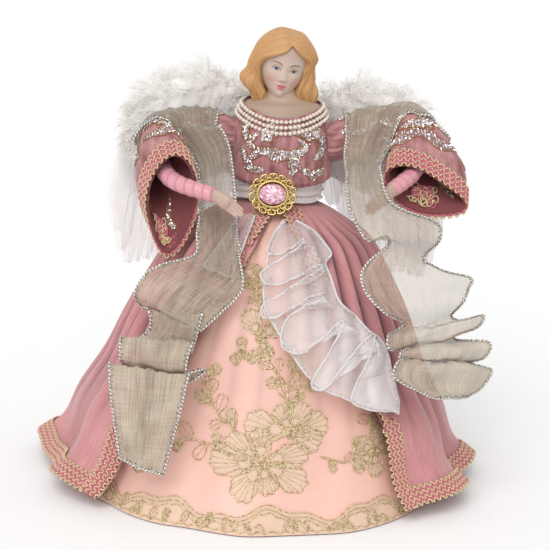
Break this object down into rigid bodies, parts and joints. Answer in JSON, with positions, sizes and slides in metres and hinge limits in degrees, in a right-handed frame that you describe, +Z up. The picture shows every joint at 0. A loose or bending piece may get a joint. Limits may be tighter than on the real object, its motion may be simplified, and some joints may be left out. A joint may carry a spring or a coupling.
{
  "type": "angel tree topper",
  "caption": "Standing angel tree topper: bisque bust with wired arms and feather wings on a card cone, in layered skirts, trumpet sleeves, ribbon scarves and a jewelled sash.",
  "frame": {"origin": "centre of the cone's open mouth, on the surface the topper stands on", "axes": "+Z up towards the crown, -Y the way the figure faces, +X towards the figure's left hand"},
  "size_m": [0.3048, 0.2633, 0.3],
  "materials": {
    "card": "matt",
    "padding": "matt wadding",
    "wire": "bare",
    "velvet": "short-pile velvet",
    "bisque": "matt painted bisque",
    "pearl": "pearlescent",
    "satin": "satin",
    "lace": "metallic thread",
    "braid": "metallic gimp",
    "organza": "sheer",
    "gilt": "polished gilt",
    "stone_pink": "faceted clear",
    "ribbon_wrap": "satin ribbon",
    "scarf": "sheer metallic",
    "feather": "natural feather",
    "down": "marabou down"
  },
  "bodies": {
    "figure": {"tree_cone": "card", "torso_core": "padding", "shoulder_wire": "wire", "bodice": "velvet", "bisque_head": "bisque", "pearl_row_1": "pearl", "pearl_row_2": "pearl", "pearl_row_3": "pearl", "underskirt": "satin", "lace_hem": "lace", "overskirt": "velvet", "front_braid_left": "braid", "front_braid_right": "braid", "hem_braid": "braid", "waist_sash": "organza", "sash_tail": "organza", "organza_ruffle": "organza", "brooch_setting": "gilt", "brooch_gem": "stone_pink", "wing_mount": "card"},
    "right_arm": {"sleeve_right": "velvet", "cuff_braid_right": "braid", "arm_wrap_right": "ribbon_wrap", "arm_wire_right": "wire", "hand_right": "bisque", "scarf_right": "scarf"},
    "left_arm": {"sleeve_left": "velvet", "cuff_braid_left": "braid", "arm_wrap_left": "ribbon_wrap", "arm_wire_left": "wire", "hand_left": "bisque", "scarf_left": "scarf"},
    "right_wing": {"wing_card_right": "card", "wing_primaries_right": "feather", "wing_coverts_right": "feather", "wing_down_right": "down"},
    "left_wing": {"wing_card_left": "card", "wing_primaries_left": "feather", "wing_coverts_left": "feather", "wing_down_left": "down"}
  },
  "joints": [
    {"name": "right_shoulder", "type": "hinge", "parent": "figure", "child": "right_arm", "pos_m": [-0.03, 0, 0.2275], "axis": [0, 1, 0], "range_deg": [0, 15]},
    {"name": "left_shoulder", "type": "hinge", "parent": "figure", "child": "left_arm", "pos_m": [0.042, 0, 0.2275], "axis": [0, -1, 0], "range_deg": [0, 15]},
    {"name": "right_wing_fold", "type": "hinge", "parent": "figure", "child": "right_wing", "pos_m": [-0.003, 0.0467, 0.228], "axis": [0, 0, -1], "range_deg": [0, 35]},
    {"name": "left_wing_fold", "type": "hinge", "parent": "figure", "child": "left_wing", "pos_m": [0.015, 0.0467, 0.228], "axis": [0, 0, 1], "range_deg": [0, 35]}
  ]
}
